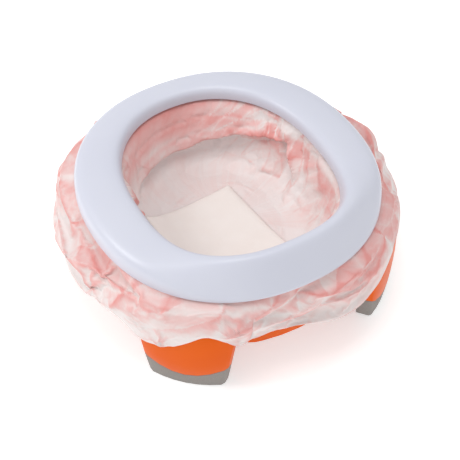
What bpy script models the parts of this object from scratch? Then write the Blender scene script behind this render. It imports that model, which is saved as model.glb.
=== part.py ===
"""A travel potty: seat ring, base frame, four swing-out legs with rubber feet, and a film liner.

Run with: blender --background --python part.py
Metres, +Z up. The origin is on the floor under the middle of the seat; the front is towards -Y.
"""

import bmesh
import bpy
import math
from mathutils import Matrix, Vector

MM = 0.001

# Seat ring
SEAT_HALF_WIDTH = 141 * MM
SEAT_HALF_DEPTH = 145.5 * MM
SEAT_SQUARENESS = 2.2
HOLE_HALF_WIDTH = 93.5 * MM
HOLE_BACK = 112 * MM
HOLE_FRONT = 109 * MM
HOLE_BACK_SQUARENESS = 2.2
HOLE_FRONT_SQUARENESS = 2.7
SEAT_TOP_Z = 123.5 * MM
SEAT_RIM_Z = 102 * MM
SEAT_LIP_Z = 110 * MM
SEAT_WALL = 2.6 * MM
GUARD_RISE = 10 * MM
GUARD_FLAT_ANGLE = math.radians(22)
GUARD_END_ANGLE = math.radians(64)
CLAMP_RIB_INSET = 24 * MM
CLAMP_RIB_Z = 108.9 * MM

# Base frame
BASE_INSET = 7 * MM
BASE_HOLE_GROWTH = 4 * MM
BASE_TOP_Z = 107 * MM
BASE_INNER_Z = 90 * MM
BASE_WALL = 2.5 * MM
SKIRT_Z = 30 * MM
SKIRT_CORNER = 11 * MM
NOTCH_Z = 86 * MM
NOTCH_HALF_ANGLE = math.radians(19)

# Legs and feet: u points outwards from the seat's middle through a leg, v runs across the leg
LEG_ANGLE = math.radians(48)
LEG_OUTER_R = 166 * MM
LEG_BULGE = 2.5 * MM
LEG_CURL = 2.5 * MM
LEG_INNER_R = 149 * MM
LEG_TOP_Z = 83 * MM
LEG_HALF_WIDTH = 37 * MM
LEG_TAPER = 0.132
LEG_CORNER = 5 * MM
LEG_SKIN = 3 * MM
FOOT_MIDDLE_Z = 15.5 * MM
FOOT_END_Z = 30 * MM
FOOT_EDGE = 5 * MM
PEG_RADIUS = 3 * MM
PEG_HEIGHT = 5 * MM
PEG_SPACING = 20 * MM
GAP = 0.3 * MM

# Hinges
HINGE_R = 150 * MM
HINGE_Z = 90 * MM
KNUCKLE_RADIUS = 6 * MM
KNUCKLE_HALF = 25.4 * MM
LUG_IN = 26 * MM
LUG_OUT = 32 * MM
LUG_ROOT = 4.6 * MM
PIN_RADIUS = 2 * MM
PIN_CLEARANCE = 0.1 * MM
PIN_IN = 17 * MM
PIN_OUT = 32.8 * MM

# Liner and pad
FILM = 0.8 * MM
FILM_Z = BASE_TOP_Z + 0.85 * MM
POUCH_FLANGE_INSET = 19 * MM
POUCH_FLOOR_Z = 44 * MM
CUFF_OUT = 169 * MM
CUFF_SHORT_R = 152.5 * MM
CUFF_LEG_Z = 68 * MM
CUFF_SIDE_Z = 51 * MM
PAD_SIZE = (93 * MM, 104 * MM, 4 * MM)
PAD_CORNER = (25 * MM, 42 * MM)
PAD_LIFT = 1.1 * MM
PAD_BEVEL = 1.2 * MM
PAD_TURN = math.radians(6)

# How finely round shapes are divided
ROUND_STEPS = 60
WALL_STEPS = 48
PIN_SIDES = 12
EYE_SIDES = 20


def superellipse(angle, half_x, half_y, power):
    """Distance from the middle to a rounded-square outline in a direction."""
    along = abs(math.cos(angle) / half_x) ** power
    across = abs(math.sin(angle) / half_y) ** power
    return (along + across) ** (-1 / power)


def seat_outline(angle, inset=0.0):
    return superellipse(angle, SEAT_HALF_WIDTH - inset, SEAT_HALF_DEPTH - inset, SEAT_SQUARENESS)


def hole_outline(angle, growth=0.0):
    back = math.sin(angle) > 0
    half_y = HOLE_BACK if back else HOLE_FRONT
    power = HOLE_BACK_SQUARENESS if back else HOLE_FRONT_SQUARENESS
    return superellipse(angle, HOLE_HALF_WIDTH + growth, half_y + growth, power)


def smooth(value):
    value = min(max(value, 0.0), 1.0)
    return value * value * (3 - 2 * value)


def material(name, colour, roughness, metallic=0.0, alpha=1.0):
    made = bpy.data.materials.new(name)
    made.use_nodes = True
    shader = made.node_tree.nodes["Principled BSDF"]
    shader.inputs["Base Color"].default_value = (*colour, 1.0)
    shader.inputs["Roughness"].default_value = roughness
    shader.inputs["Metallic"].default_value = metallic
    shader.inputs["Alpha"].default_value = alpha
    return made


def new_object(name, mesh):
    made = bpy.data.objects.new(name, mesh)
    bpy.context.scene.collection.objects.link(made)
    return made


def mesh_of(name, form):
    """A mesh from a bmesh, with its faces turned outwards."""
    bmesh.ops.recalc_face_normals(form, faces=form.faces)
    mesh = bpy.data.meshes.new(name)
    form.to_mesh(mesh)
    form.free()
    return mesh


def evaluated_mesh(made):
    graph = bpy.context.evaluated_depsgraph_get()
    return bpy.data.meshes.new_from_object(made.evaluated_get(graph))


def joined(mesh, tools, operation):
    """The mesh after one Boolean with each tool mesh."""
    body = new_object("joined", mesh)
    helpers = []
    for index, tool in enumerate(tools):
        helper = new_object(f"tool_{index}", tool)
        helpers.append(helper)
        step = body.modifiers.new(f"step_{index}", "BOOLEAN")
        step.object = helper
        step.operation = operation
    bpy.context.view_layer.update()
    result = evaluated_mesh(body)
    for helper in [body, *helpers]:
        bpy.data.objects.remove(helper)
    return result


def swept_ring(name, angles, section, thickness, closed_middle=False, centred=False):
    """A ring swept round the middle: section(angle) lists (radius, z) from one edge to the other.

    The section is the ring's outer skin, or the middle of its wall where centred is true.
    """
    form = bmesh.new()
    columns = []
    for angle in angles:
        ring = [(r * math.cos(angle), r * math.sin(angle), z) for r, z in section(angle)]
        columns.append([form.verts.new(point) for point in ring])
    if closed_middle:
        middle = form.verts.new((0, 0, section(0)[-1][1]))
    for index, column in enumerate(columns):
        following = columns[(index + 1) % len(columns)]
        for row in range(len(column) - 1):
            form.faces.new((column[row], column[row + 1], following[row + 1], following[row]))
        if closed_middle:
            form.faces.new((column[-1], middle, following[-1]))
    mesh = bpy.data.meshes.new(name)
    form.to_mesh(mesh)
    form.free()
    body = new_object("swept", mesh)
    wall = body.modifiers.new("wall", "SOLIDIFY")
    wall.thickness = thickness
    wall.offset = 0 if centred else -1
    wall.use_even_offset = False
    result = evaluated_mesh(body)
    bpy.data.objects.remove(body)
    return result


def even_angles(steps=ROUND_STEPS):
    return [2 * math.pi * step / steps for step in range(steps)]


def finish(name, mesh, look, smooth_angle=35):
    """The finished part: shaded smooth, with sharp edges where it turns hard."""
    made = new_object(name, mesh)
    mesh.materials.clear()
    mesh.materials.append(look)
    mesh.shade_smooth()
    mesh.set_sharp_from_angle(angle=math.radians(smooth_angle))
    return made


def guard(angle):
    """How much of the splash guard stands up in a direction, from 0 to 1."""
    from_front = abs(math.remainder(angle + math.pi / 2, 2 * math.pi))
    return 1 - smooth((from_front - GUARD_FLAT_ANGLE) / (GUARD_END_ANGLE - GUARD_FLAT_ANGLE))


def seat_section(angle):
    """The seat's outer skin, from the lip in the hole over the top to the outer rim."""
    inner = hole_outline(angle)
    outer = seat_outline(angle)
    band = outer - inner
    rise = guard(angle)
    top = SEAT_TOP_Z + GUARD_RISE * rise
    return [
        (inner, SEAT_LIP_Z),
        (inner + 0.09 * rise * band, top - 8 * MM),
        (inner + (0.04 + 0.11 * rise) * band, top - 4 * MM),
        (inner + (0.12 + 0.10 * rise) * band, top - 1.2 * MM),
        (inner + (0.30 + 0.05 * rise) * band, top),
        (inner + (0.60 - 0.12 * rise) * band, top - (0.4 + 1.2 * rise) * MM),
        (inner + (0.80 - 0.12 * rise) * band, top - (1.6 + 10.8 * rise) * MM),
        (inner + (0.92 - 0.03 * rise) * band, top - (4.2 + 19.5 * rise) * MM),
        (outer - 0.7 * MM, top - (8 + 20 * rise) * MM),
        (outer, SEAT_RIM_Z + (6 - 4.5 * rise) * MM),
        (outer, SEAT_RIM_Z),
    ]


def clamp_rib_section(angle):
    outer = seat_outline(angle, CLAMP_RIB_INSET)
    top = SEAT_TOP_Z + GUARD_RISE * guard(angle)
    return [(outer, CLAMP_RIB_Z), (outer, top - (1.6 + 3 * guard(angle)) * MM)]


def build_seat_ring(look):
    skin = swept_ring("seat", even_angles(), seat_section, SEAT_WALL)
    rib = swept_ring("rib", even_angles(), clamp_rib_section, BASE_WALL)
    return finish("seat_ring", joined(skin, [rib], "UNION"), look, 50)


def leg_angles():
    """The direction of each leg by name."""
    return {
        "front_left": math.pi + LEG_ANGLE,
        "front_right": -LEG_ANGLE,
        "back_left": math.pi - LEG_ANGLE,
        "back_right": LEG_ANGLE,
    }


def skirt_z(angle):
    """The lower edge of the base's outer wall: deep panels with rounded corners between the legs."""
    apart = min(abs(math.remainder(angle - leg, 2 * math.pi)) for leg in leg_angles().values())
    beyond = (apart - NOTCH_HALF_ANGLE) * seat_outline(angle, BASE_INSET)
    if beyond < 0:
        return NOTCH_Z
    if beyond < SKIRT_CORNER:
        return SKIRT_Z + SKIRT_CORNER - math.sqrt(SKIRT_CORNER**2 - (SKIRT_CORNER - beyond) ** 2)
    return SKIRT_Z


def skirt_angles():
    """Columns of the base: close together at the corners of the panels, wide apart elsewhere."""
    step = math.radians(0.1)
    corner = SKIRT_CORNER / SEAT_HALF_WIDTH
    angles = set()
    for leg in leg_angles().values():
        for side in (-1, 1):
            edge = leg + side * NOTCH_HALF_ANGLE
            for offset in (-step, step, 0.15 * corner, 0.5 * corner, 1.1 * corner):
                angles.add(round((edge + side * offset) % (2 * math.pi), 6))
    for angle in even_angles(WALL_STEPS):
        if all(abs(math.remainder(angle - other, 2 * math.pi)) > 0.03 for other in angles):
            angles.add(round(angle, 6))
    return sorted(angles)


def base_section(angle):
    """The base's skin, from its inner collar over the flange and down the outer wall."""
    inner = hole_outline(angle, BASE_HOLE_GROWTH)
    outer = seat_outline(angle, BASE_INSET)
    low = skirt_z(angle)
    wall_top = BASE_TOP_Z - 2 * MM
    points = [
        (inner, BASE_INNER_Z),
        (inner, wall_top),
        (inner + 2 * MM, BASE_TOP_Z),
        (outer - 2 * MM, BASE_TOP_Z),
    ]
    for share in (0, 0.5, 1):
        points.append((outer, wall_top + (low - wall_top) * share))
    return points


def box(name, low, high):
    form = bmesh.new()
    bmesh.ops.create_cube(form, size=1)
    size = Vector(high) - Vector(low)
    middle = (Vector(high) + Vector(low)) / 2
    bmesh.ops.scale(form, vec=size, verts=form.verts)
    bmesh.ops.translate(form, vec=middle, verts=form.verts)
    return mesh_of(name, form)


def rod(name, radius, start, end, sides=PIN_SIDES):
    """A round bar from one point to another."""
    start = Vector(start)
    end = Vector(end)
    form = bmesh.new()
    turn = (end - start).to_track_quat("Z", "Y").to_matrix().to_4x4()
    place = Matrix.Translation((start + end) / 2) @ turn
    bmesh.ops.create_cone(
        form,
        cap_ends=True,
        segments=sides,
        radius1=radius,
        radius2=radius,
        depth=(end - start).length,
        matrix=place,
    )
    return mesh_of(name, form)


def turned(mesh, angle):
    """A mesh made in leg coordinates (u, v, z), turned to the leg's direction."""
    mesh.transform(Matrix.Rotation(angle, 4, "Z"))
    return mesh


def lug_parts(side):
    """One hinge lug in leg coordinates: an arm out of the base with a round end."""
    across = sorted((side * LUG_IN, side * LUG_OUT))
    arm_start = seat_outline(LEG_ANGLE, BASE_INSET) - LUG_ROOT
    low = (arm_start, across[0], HINGE_Z - KNUCKLE_RADIUS + 2.5 * MM)
    high = (HINGE_R, across[1], HINGE_Z + KNUCKLE_RADIUS)
    arm = box("arm", low, high)
    eye = rod("eye", KNUCKLE_RADIUS, (HINGE_R, across[0], HINGE_Z), (HINGE_R, across[1], HINGE_Z), EYE_SIDES)
    return [arm, eye]


def pin_hole(side):
    reach = PIN_OUT + 3 * MM
    start = (HINGE_R, side * (PIN_IN - 1 * MM), HINGE_Z)
    return rod("pin_hole", PIN_RADIUS + PIN_CLEARANCE, start, (HINGE_R, side * reach, HINGE_Z))


def build_base_frame(look):
    lugs = []
    holes = []
    for angle in leg_angles().values():
        for side in (-1, 1):
            lugs += [turned(part, angle) for part in lug_parts(side)]
            holes.append(turned(pin_hole(side), angle))
    skin = swept_ring("base", skirt_angles(), base_section, BASE_WALL)
    whole = joined(joined(skin, lugs, "UNION"), holes, "DIFFERENCE")
    return finish("base_frame", whole, look)


def petal(name, rows, low, high, reach, inner, outer, corner):
    """A curved block across a leg. low(t) and high(t) give its lower and upper z over t from -1 to 1,
    reach is the range of t, and inner(z) and outer(z) are its radii about the seat's middle. The outside
    curls in towards the leg's ends."""
    span = reach[1] - reach[0]
    ends = (0, 0.02, 0.06, 0.2) if corner else (0,)
    shares = [*ends, 0.35, 0.5, 0.65, *(1 - share for share in reversed(ends))]
    form = bmesh.new()
    skins = {"inner": [], "outer": []}
    for share in shares:
        t = reach[0] + span * share
        for side, radius in (("inner", inner), ("outer", outer)):
            column = []
            for row in range(rows + 1):
                z = low(t) + (high(t) - low(t)) * row / rows
                half = LEG_HALF_WIDTH + LEG_TAPER * z
                v = t * half
                to_end = min(share, 1 - share) * span * half
                cut = max(corner - to_end, 0)
                round_off = corner - math.sqrt(max(corner**2 - cut**2, 0))
                u = math.sqrt(radius(z) ** 2 - v**2)
                u += round_off if side == "inner" else -round_off - LEG_CURL * t**2
                column.append(form.verts.new((u, v, z)))
            skins[side].append(column)
    last = len(shares) - 1
    for index in range(last):
        for skin in skins.values():
            for row in range(rows):
                near, far = skin[index], skin[index + 1]
                form.faces.new((near[row], far[row], far[row + 1], near[row + 1]))
        for row in (0, rows):
            a, b = skins["inner"], skins["outer"]
            form.faces.new((a[index][row], a[index + 1][row], b[index + 1][row], b[index][row]))
    for index in (0, last):
        for row in range(rows):
            a, b = skins["inner"][index], skins["outer"][index]
            form.faces.new((a[row], a[row + 1], b[row + 1], b[row]))
    return mesh_of(name, form)


def leg_outer(z):
    share = z / LEG_TOP_Z
    return LEG_OUTER_R + LEG_BULGE * 4 * share * (1 - share)


def leg_inner(_):
    return LEG_INNER_R


def foot_split(t):
    """Height of the seam between leg and foot: the foot is deeper towards the leg's rounded ends."""
    return FOOT_MIDDLE_Z + (FOOT_END_Z - FOOT_MIDDLE_Z) * t * t


def foot_low(t):
    past = max(abs(t) * LEG_HALF_WIDTH - (LEG_HALF_WIDTH - FOOT_EDGE), 0)
    return FOOT_EDGE - math.sqrt(max(FOOT_EDGE**2 - past**2, 0))


def peg(radius, low, high, side):
    u = (LEG_INNER_R + LEG_OUTER_R) / 2
    start = (u, side * PEG_SPACING, low)
    return rod("peg", radius, start, (u, side * PEG_SPACING, high))


def leg_mesh():
    """One leg about the seat's middle: a hollow-backed plate, its neck and its hinge knuckle."""
    plate = petal("plate", 4, lambda t: foot_split(t) + GAP / 2, lambda _: LEG_TOP_Z, (-1, 1),
                  leg_inner, leg_outer, LEG_CORNER)
    neck_low = (LEG_INNER_R - 4 * MM, -KNUCKLE_HALF, LEG_TOP_Z - 6 * MM)
    neck_high = (LEG_OUTER_R - 5 * MM, KNUCKLE_HALF, HINGE_Z - 0.5 * MM)
    neck = box("neck", neck_low, neck_high)
    ends = [(HINGE_R, side * KNUCKLE_HALF, HINGE_Z) for side in (-1, 1)]
    knuckle = rod("knuckle", KNUCKLE_RADIUS, *ends, EYE_SIDES)
    pockets = []
    for reach in ((-0.88, -0.34), (-0.27, 0.27), (0.34, 0.88)):
        pockets.append(petal("pocket", 1, lambda t: foot_split(t) + 9 * MM, lambda _: LEG_TOP_Z - 8 * MM,
                             reach, lambda _: LEG_INNER_R - 6 * MM, lambda z: leg_outer(z) - LEG_SKIN, 0))
    sockets = []
    for side in (-1, 1):
        top = FOOT_MIDDLE_Z + PEG_HEIGHT + 4 * MM
        sockets.append(peg(PEG_RADIUS + GAP, FOOT_MIDDLE_Z - 2 * MM, top, side))
    holes = [pin_hole(side) for side in (-1, 1)]
    solid = joined(plate, [neck, knuckle], "UNION")
    return joined(solid, pockets + sockets + holes, "DIFFERENCE")


def foot_mesh():
    """One rubber foot with two pegs that plug into the leg."""
    tip = petal("tip", 2, foot_low, lambda t: foot_split(t) - GAP / 2, (-1, 1), leg_inner, leg_outer,
                LEG_CORNER)
    pegs = [peg(PEG_RADIUS, FOOT_MIDDLE_Z - 4 * MM, FOOT_MIDDLE_Z + PEG_HEIGHT, side) for side in (-1, 1)]
    return joined(tip, pegs, "UNION")


def pin_mesh(side):
    start = (HINGE_R, side * PIN_IN, HINGE_Z)
    return rod("pin", PIN_RADIUS, start, (HINGE_R, side * PIN_OUT, HINGE_Z))


def build_legs(orange, rubber, steel):
    """Four legs on their hinges. Each leg and foot hangs from an empty on the hinge's axis."""
    leg = leg_mesh()
    foot = foot_mesh()
    to_hinge = Matrix.Translation((-HINGE_R, 0, -HINGE_Z))
    for mesh in (leg, foot):
        mesh.transform(to_hinge)
    for name, angle in leg_angles().items():
        hinge = new_object(f"hinge_{name}", None)
        hinge.location = (HINGE_R * math.cos(angle), HINGE_R * math.sin(angle), HINGE_Z)
        hinge.rotation_euler.z = angle
        finish(f"leg_{name}", leg, orange).parent = hinge
        finish(f"foot_{name}", foot, rubber).parent = hinge
        for side, place in ((-1, "a"), (1, "b")):
            finish(f"hinge_pin_{name}_{place}", turned(pin_mesh(side), angle), steel)


def pouch_section(angle):
    """The liner inside the hole: clamped flange, wall and floor."""
    hole = hole_outline(angle)
    flange = seat_outline(angle, POUCH_FLANGE_INSET)
    return [
        (flange, FILM_Z),
        (hole + 3.2 * MM, FILM_Z),
        (hole + 2 * MM, FILM_Z - 3 * MM),
        (hole - 3 * MM, 94 * MM),
        (0.92 * hole, 74 * MM),
        (0.88 * hole, 56 * MM),
        (0.86 * hole, 48 * MM),
        (0.83 * hole, POUCH_FLOOR_Z),
        (0.40 * hole, POUCH_FLOOR_Z),
    ]


def cuff_section(angle):
    """The liner's outer cuff: over the base's edge, out under the seat's rim, and hanging outside."""
    seat = seat_outline(angle)
    from_side = math.acos(min(abs(math.cos(angle)), 1))
    out = 1 - smooth((from_side - math.radians(64)) / math.radians(16))
    over_leg = 1 - smooth((abs(from_side - LEG_ANGLE) - math.radians(12)) / math.radians(16))
    hang = CUFF_SHORT_R + (CUFF_OUT - CUFF_SHORT_R) * out
    low = CUFF_SIDE_Z + (CUFF_LEG_Z - CUFF_SIDE_Z) * over_leg
    shoulder = min(seat + 10 * MM, hang - 2.5 * MM)
    return [
        (seat - 17 * MM, FILM_Z),
        (seat - 8.5 * MM, FILM_Z),
        (seat - 5 * MM, FILM_Z - 2.5 * MM),
        (seat - 4.6 * MM, 99.6 * MM),
        (seat + 4 * MM, 98.8 * MM),
        (shoulder, 96.5 * MM),
        (hang, 89 * MM),
        (hang + 1.5 * MM, (89 * MM + low) / 2),
        (hang + 0.5 * MM, low),
    ]


def build_liner(look):
    pouch_angles = even_angles(WALL_STEPS)
    pouch = swept_ring("pouch", pouch_angles, pouch_section, FILM, closed_middle=True, centred=True)
    cuff = swept_ring("cuff", even_angles(), cuff_section, FILM, centred=True)
    finish("liner_pouch", pouch, look)
    finish("liner_cuff", cuff, look)


def build_pad(look):
    """The absorbent pad on the liner's floor, held by its back right corner."""
    width, depth, height = PAD_SIZE
    slab = box("pad", (-width, -depth, 0), (0, 0, height))
    form = bmesh.new()
    form.from_mesh(slab)
    bmesh.ops.bevel(form, geom=form.edges, offset=PAD_BEVEL, segments=2, affect="EDGES")
    made = finish("absorbent_pad", mesh_of("pad", form), look)
    made.location = (*PAD_CORNER, POUCH_FLOOR_Z + FILM + PAD_LIFT)
    made.rotation_euler.z = PAD_TURN


def main():
    for made in list(bpy.data.objects):
        bpy.data.objects.remove(made)
    lavender = material("seat_plastic", (0.70, 0.71, 0.80), 0.35)
    orange = material("orange_plastic", (0.86, 0.155, 0.012), 0.38)
    rubber = material("grey_rubber", (0.33, 0.30, 0.28), 0.75)
    steel = material("pin_steel", (0.55, 0.55, 0.56), 0.3, metallic=1.0)
    film = material("liner_film", (0.85, 0.62, 0.60), 0.5)
    fluff = material("pad_fluff", (0.85, 0.77, 0.74), 0.9)
    build_seat_ring(lavender)
    build_base_frame(orange)
    build_legs(orange, rubber, steel)
    build_liner(film)
    build_pad(fluff)


main()
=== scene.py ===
"""The looks of the travel potty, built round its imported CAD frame."""

import math

import bmesh
import bpy
import numpy as np
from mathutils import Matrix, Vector, noise
from mathutils.bvhtree import BVHTree


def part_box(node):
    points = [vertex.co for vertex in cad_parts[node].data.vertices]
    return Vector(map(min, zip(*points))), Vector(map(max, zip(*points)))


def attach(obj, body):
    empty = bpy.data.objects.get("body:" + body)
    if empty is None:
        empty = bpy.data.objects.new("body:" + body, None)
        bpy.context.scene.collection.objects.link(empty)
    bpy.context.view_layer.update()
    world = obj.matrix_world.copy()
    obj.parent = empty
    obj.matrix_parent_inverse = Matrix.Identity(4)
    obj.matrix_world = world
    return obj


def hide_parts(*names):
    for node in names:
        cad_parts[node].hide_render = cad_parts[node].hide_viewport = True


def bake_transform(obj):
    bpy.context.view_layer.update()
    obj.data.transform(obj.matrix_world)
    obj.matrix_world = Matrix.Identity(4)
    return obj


MM = 0.001

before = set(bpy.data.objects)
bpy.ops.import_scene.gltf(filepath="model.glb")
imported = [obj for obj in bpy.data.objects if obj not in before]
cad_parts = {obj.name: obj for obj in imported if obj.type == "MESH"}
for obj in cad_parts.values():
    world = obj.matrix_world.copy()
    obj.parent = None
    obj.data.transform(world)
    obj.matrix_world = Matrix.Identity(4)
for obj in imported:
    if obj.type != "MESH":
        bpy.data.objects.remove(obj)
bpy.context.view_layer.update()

# Sizes read from the frame
SEAT_LOW, SEAT_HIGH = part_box("seat_ring")
POUCH_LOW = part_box("liner_pouch")[0]
PAD_LOW, PAD_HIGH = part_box("absorbent_pad")
SEAT_HALF_X = (SEAT_HIGH.x - SEAT_LOW.x) / 2
SEAT_HALF_Y = (SEAT_HIGH.y - SEAT_LOW.y) / 2
SEAT_RIM_Z = SEAT_LOW.z
GUARD_TOP_Z = SEAT_HIGH.z
FLOOR_FILM_Z = POUCH_LOW.z + 0.4 * MM

# Proportions of the seat ring and its hole
SEAT_POWER = 2.2
GUARD_RISE = 10 * MM
SEAT_TOP_Z = GUARD_TOP_Z - GUARD_RISE
LIP_Z = 110 * MM
HOLE_X = 93.5 * MM
HOLE_BACK = 112 * MM
HOLE_FRONT = 109 * MM
HOLE_BACK_POWER = 2.2
HOLE_FRONT_POWER = 2.7
GUARD_FLAT = math.radians(22)
GUARD_END = math.radians(64)
SEAT_WALL = 2.6 * MM
SEAT_EDGE = 0.7 * MM
SEAT_COLUMNS = 120
# The rib under it: how far in it stands, its half thickness, and its gaps to the top and to the rim
RIB_INSET = 24 * MM
RIB_HALF = 1.1 * MM
RIB_UNDER_TOP = 2 * MM
RIB_OVER_RIM = 7 * MM
RIB_EDGE = 0.3 * MM
RIB_COLUMNS = 240

# The refined copies of CAD nodes: points this near are one, and faces this near to flat are joined
WELD_WITHIN = 0.02 * MM
FLAT_WITHIN = math.radians(1.2)

# The legs: how far each is turned from the line from left to right, and the direction of each
LEG_ANGLE = math.radians(48)
LEG_WAYS = {"front_left": -math.pi + LEG_ANGLE, "front_right": -LEG_ANGLE,
            "back_left": math.pi - LEG_ANGLE, "back_right": LEG_ANGLE}

# The cuff of film outside the frame
CUFF_COLUMNS = 340
CUFF_HEM_ROW = 24
CUFF_ROWS = 30
CUFF_OUT_R = 168 * MM
CUFF_SHOULDER_Z = 95 * MM
CUFF_HEM_Z = 52 * MM
CUFF_HEM_MOST_Z = 83 * MM
# Below this height it is kept outside the hard parts: this far off them, and its tuck this far
CUFF_FREE_Z = 99 * MM
CUFF_LIES_OFF = 1 * MM
CUFF_TUCK_OFF = 1.5 * MM
# How much larger than it hangs the sheet that settles is, and how far askew
CUFF_SLACK_ROUND = 0.02
CUFF_SLACK_DOWN = 0.04
CUFF_LEAN = 0.3
# The hard parts under it, which level rays look for, from this far out and for this far
CUFF_LIES_ON = ("base_frame", "leg_front_left", "leg_front_right", "leg_back_left", "leg_back_right")
RAY_FROM_R = 0.3
RAY_REACH = 0.2
# Where its hem rides up: direction and spread in degrees, how far
HEM_LIFTS = ((-161, 10, 18 * MM), (-124, 10, 26 * MM), (-97, 12, 4 * MM), (-44, 16, 41 * MM),
             (0, 20, 24 * MM), (48, 14, 28 * MM), (132, 14, 24 * MM))
# Where its hem is drawn in: direction and spread in degrees, how far
HEM_DRAWS = ((-101, 17, 17 * MM), (90, 25, 8 * MM), (178, 22, 4 * MM))
# Its large folds, small folds and ups and downs: width, length, slope, seed
CUFF_LARGE = (14 * MM, 55 * MM, 0.35, 3.1)
CUFF_SMALL = (9 * MM, 28 * MM, -0.6, 6.6)
CUFF_LIFTS = (22 * MM, 60 * MM, 0.5, 7.7)
# Where the film is pulled flat: direction and spread in degrees
CUFF_PANEL = (-70, 13)
# Where it is gathered to a point: direction in degrees, height, reach, pleats
CUFF_PUCKERS = ((-138, 62 * MM, 13 * MM, 5), (-114, 60 * MM, 16 * MM, 6), (-168, 72 * MM, 18 * MM, 5))
# Where one clear layer shows: direction and spread in degrees, height
CUFF_CLEAR = ((176, 10, 56 * MM), (-156, 12, 62 * MM), (-128, 8, 66 * MM))

# Both films: how they settle. The cuff falls against a body, and keeps this far off it
CLOTH_FRAMES = 14
CUFF_GRAVITY = 0.5
POUCH_GRAVITY = 0.15
FILM_CLOTH = {"quality": 8, "mass": 0.12, "air_damping": 2, "tension_stiffness": 40,
              "compression_stiffness": 40, "shear_stiffness": 10, "bending_stiffness": 1.0,
              "tension_damping": 10, "compression_damping": 10, "shear_damping": 10}
FILM_KEEPS_OFF = 1.5 * MM
BODY_THICK = 1 * MM
BODY_FRICTION = 20
# How wide and how marked the line along a crease is: a painted highlight or painted shade along it
CREASE_WIDTH = 1.3 * MM
CREASE_LIGHT_AND_SHADE = 1.7
# How much the folds' own tones (partly painted light and shade), the painted light and shade keyed to their
# ridges, and soft clouds deepen the tint
FOLD_TONE_AND_SHADE = 0.26
RIDGE_LIGHT_AND_SHADE = 0.30
CLOUD_TINT = 0.10

# The pouch of film inside the frame
POUCH_COLUMNS = 200
POUCH_ROWS = 50
# How much larger than it hangs the sheet that settles is, and how far askew
POUCH_SLACK_ROUND = 0.02
POUCH_SLACK_DOWN = 0.05
POUCH_LEAN = 0.1
# How far in it starts, and how far past the hole's outline it may lie below and above the neck
POUCH_CLEAR = 1.5 * MM
POUCH_NECK_Z = 104 * MM
POUCH_PAST_BELOW = 2 * MM
POUCH_PAST_ABOVE = 10 * MM
FILM_LIP_Z = 108 * MM
# Its smooth form: share of the hole's radius, and height
POUCH_BOWL = ((0.97, 88 * MM), (0.94, 74 * MM), (0.88, 63 * MM), (0.79, 54.5 * MM), (0.68, 49 * MM),
              (0.55, 46 * MM), (0.40, FLOOR_FILM_Z))
# Its folds: direction and spread in degrees, lowest z, width, length, slope, how far they stand in
POUCH_FOLDS = ((8, 26, 50 * MM, 17 * MM, 45 * MM, 0.8, 11 * MM),
               (30, 14, 86 * MM, 11 * MM, 40 * MM, 1.4, 9 * MM),
               (55, 22, 52 * MM, 15 * MM, 45 * MM, -0.5, 7 * MM),
               (-60, 30, 50 * MM, 12 * MM, 30 * MM, 0.7, 6 * MM),
               (172, 30, 86 * MM, 11 * MM, 26 * MM, 1.2, 9 * MM))
# Small folds all over it: width, length, slope, seed
POUCH_SMALL = (10 * MM, 30 * MM, -0.8, 6.6)
# The swags across its back: they fan out from one direction to another, in degrees, from narrow to
# wide, and the lowest stands in the furthest
SWAG_FROM = 14
SWAG_TO = 150
SWAG_COUNT = 3
SWAG_NARROW = 6 * MM
SWAG_WIDE = 15 * MM
SWAG_STANDS = 15 * MM

# The pad: its thickness, the share of it at the edges, and its back right corner
PAD_THICK = 4 * MM
PAD_EDGE_SHARE = 0.25
PAD_CORNER = Vector((25 * MM, 42 * MM))
PAD_TURN = math.radians(6)
PAD_ALONG = Vector((math.cos(PAD_TURN), math.sin(PAD_TURN)))
PAD_ACROSS = Vector((-math.sin(PAD_TURN), math.cos(PAD_TURN)))
PAD_WIDE = 100 * MM
PAD_DEEP = 104 * MM
PAD_STEPS = 40
# This far round the pad, and below this height, the film is pressed down. The pad lies this far above
PAD_CLEAR = 3 * MM
PAD_REACH_Z = 70 * MM
PAD_LIES_OFF = 1.3 * MM

# The camera
CAMERA_AZIMUTH = math.radians(-28.8)
CAMERA_ELEVATION = math.radians(47.9)
CAMERA_DISTANCE = 0.8936
CAMERA_AIM = Vector((-0.0100, -0.0245, 0.060))
CAMERA_LENS = 72
CAMERA_SENSOR = 36

# The light and the floor. Each lamp: name, place, diameter, power in watts, colour
LAMPS = (("key", (-1.1, 0.5, 1.3), 0.7, 8, (1.0, 1.0, 1.0)),
         ("top", (0.0, 0.1, 1.6), 0.8, 6, (1.0, 1.0, 1.0)),
         ("fill", (-0.6, -1.3, 1.0), 1.2, 1.2, (1.0, 0.99, 0.98)))
LAMP_AIM = (0, 0, 0.05)
WORLD_STRENGTH = 0.61
FLOOR_HALF = 6
FLOOR_GLOW = 0.42

# ---------------------------------------------------------------- shapes shared with the frame

def superellipse(angle, half_x, half_y, power):
    """Distance from the middle to a rounded outline, for an angle or an array of them."""
    along = np.abs(np.cos(angle) / half_x) ** power
    across = np.abs(np.sin(angle) / half_y) ** power
    return (along + across) ** (-1 / power)


def seat_outline(angle, inset=0.0):
    return superellipse(angle, SEAT_HALF_X - inset, SEAT_HALF_Y - inset, SEAT_POWER)


def hole_outline(angle):
    back = superellipse(angle, HOLE_X, HOLE_BACK, HOLE_BACK_POWER)
    front = superellipse(angle, HOLE_X, HOLE_FRONT, HOLE_FRONT_POWER)
    return np.where(np.sin(angle) > 0, back, front)


def smooth(value):
    value = np.clip(value, 0, 1)
    return value * value * (3 - 2 * value)


def turned_apart(angle, other):
    """The angle between two directions, from 0 to pi."""
    return np.abs((angle - other + np.pi) % (2 * np.pi) - np.pi)


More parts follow.
